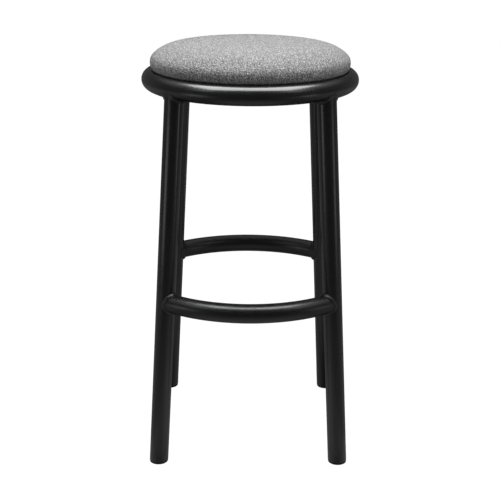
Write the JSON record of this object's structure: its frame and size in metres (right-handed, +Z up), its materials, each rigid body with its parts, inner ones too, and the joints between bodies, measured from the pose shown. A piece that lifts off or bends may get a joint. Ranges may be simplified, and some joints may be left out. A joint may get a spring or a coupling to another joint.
{
  "type": "bar stool",
  "caption": "Backless bar stool with a round padded seat on a welded tube ring, splayed straight legs and bowed front and rear footrest bars.",
  "frame": {"origin": "on the floor, below the centre of the seat ring", "axes": "+Z up, -Y is the front that the picture shows, +X to the right seen from the front"},
  "size_m": [0.4, 0.4454, 0.767],
  "materials": {
    "frame_coat": "black powder coat, satin, very fine texture",
    "glide_plastic": "black moulded polyamide, satin",
    "cover_fabric": "grey melange plain weave of dark and light yarns",
    "dust_fabric": "black non-woven sheet",
    "foam": "open-cell foam, cream",
    "plywood": "birch plywood, raw",
    "zinc_steel": "zinc-plated steel",
    "black_steel": "black-oxide steel, satin"
  },
  "bodies": {
    "root": {"seat_ring": "frame_coat", "footrest_front_bar": "frame_coat", "footrest_rear_bar": "frame_coat", "leg_weld_beads": "frame_coat", "footrest_weld_beads": "frame_coat", "lug_weld_beads": "frame_coat", "seat_board": "plywood", "insert_nuts": "zinc_steel", "seat_foam": "foam", "seat_cover": "cover_fabric", "hem_staples": "zinc_steel", "dust_cover": "dust_fabric", "dust_cover_staples": "zinc_steel", "seat_screws": "black_steel", "screw_washers": "black_steel", "leg_front_left": "frame_coat", "glide_front_left": "glide_plastic", "leg_front_right": "frame_coat", "glide_front_right": "glide_plastic", "leg_rear_left": "frame_coat", "glide_rear_left": "glide_plastic", "leg_rear_right": "frame_coat", "glide_rear_right": "glide_plastic", "seat_lug_front": "frame_coat", "seat_lug_right": "frame_coat", "seat_lug_rear": "frame_coat", "seat_lug_left": "frame_coat"}
  },
  "joints": []
}
